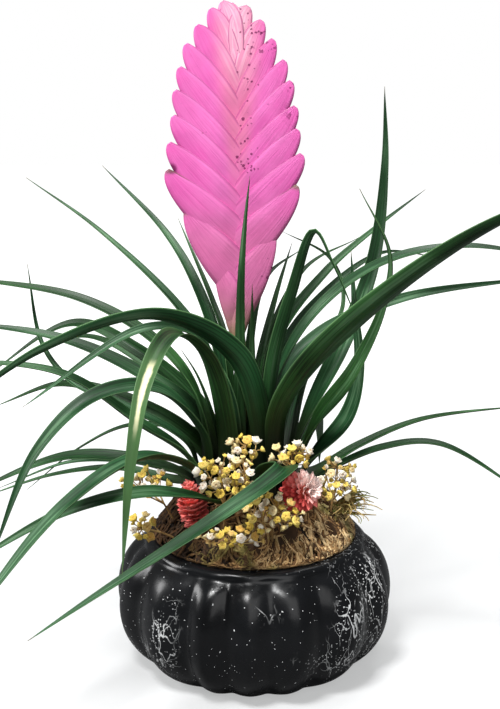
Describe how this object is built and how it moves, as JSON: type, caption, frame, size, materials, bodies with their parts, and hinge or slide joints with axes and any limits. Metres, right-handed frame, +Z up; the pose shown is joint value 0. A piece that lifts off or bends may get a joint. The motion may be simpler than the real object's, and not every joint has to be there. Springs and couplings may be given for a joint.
{
  "type": "potted bromeliad",
  "caption": "Rosette of narrow arching leaves around an upright flat flower spike, in a squashed ribbed bowl topped with moss and dried flower sprays; stands on its flat foot.",
  "frame": {"origin": "middle of the pot's flat foot, on the surface it stands on", "axes": "+Z up along the pot's axis; the broad front face of the flower spike looks towards -Y; +X is to the viewer's right"},
  "size_m": [0.3003, 0.2846, 0.309],
  "materials": {
    "pot_glaze": "satin black with fine white crackle marks",
    "soil": "matte crumbly dark earth",
    "moss": "matte dried brown moss",
    "dry_straw": "matte dry straw with a greenish cast",
    "plant_stem": "matte green-brown",
    "leaf": "waxy satin dark green with fine lengthwise lines",
    "pink_bract": "soft satin pink, peach along the middle",
    "coral_petal": "dry papery coral",
    "dried_floret": "dry papery yellow, ochre and white"
  },
  "bodies": {
    "root": {"pot": "pot_glaze", "soil": "soil", "moss": "moss", "moss_tuft": "dry_straw", "plant_stem": "plant_stem", "leaf_01": "leaf", "leaf_02": "leaf", "leaf_03": "leaf", "leaf_04": "leaf", "leaf_05": "leaf", "leaf_06": "leaf", "leaf_07": "leaf", "leaf_08": "leaf", "leaf_09": "leaf", "leaf_10": "leaf", "leaf_11": "leaf", "leaf_12": "leaf", "leaf_13": "leaf", "leaf_14": "leaf", "leaf_15": "leaf", "leaf_16": "leaf", "leaf_17": "leaf", "leaf_18": "leaf", "leaf_19": "leaf", "leaf_20": "leaf", "leaf_21": "leaf", "leaf_22": "leaf", "leaf_23": "leaf", "leaf_24": "leaf", "leaf_25": "leaf", "leaf_26": "leaf", "leaf_27": "leaf", "leaf_28": "leaf", "leaf_29": "leaf", "leaf_30": "leaf", "leaf_31": "leaf", "leaf_32": "leaf", "leaf_33": "leaf", "leaf_34": "leaf", "leaf_35": "leaf", "leaf_36": "leaf", "leaf_37": "leaf", "leaf_38": "leaf", "leaf_39": "leaf", "leaf_40": "leaf", "leaf_41": "leaf", "leaf_42": "leaf", "leaf_43": "leaf", "flower_spike": "pink_bract", "bloom_right": "coral_petal", "bloom_left": "coral_petal", "spray_1": "dried_floret", "spray_2": "dried_floret", "spray_3": "dried_floret", "spray_4": "dried_floret", "spray_5": "dried_floret", "spray_6": "dried_floret", "spray_7": "dried_floret", "spray_8": "dried_floret"}
  },
  "joints": []
}
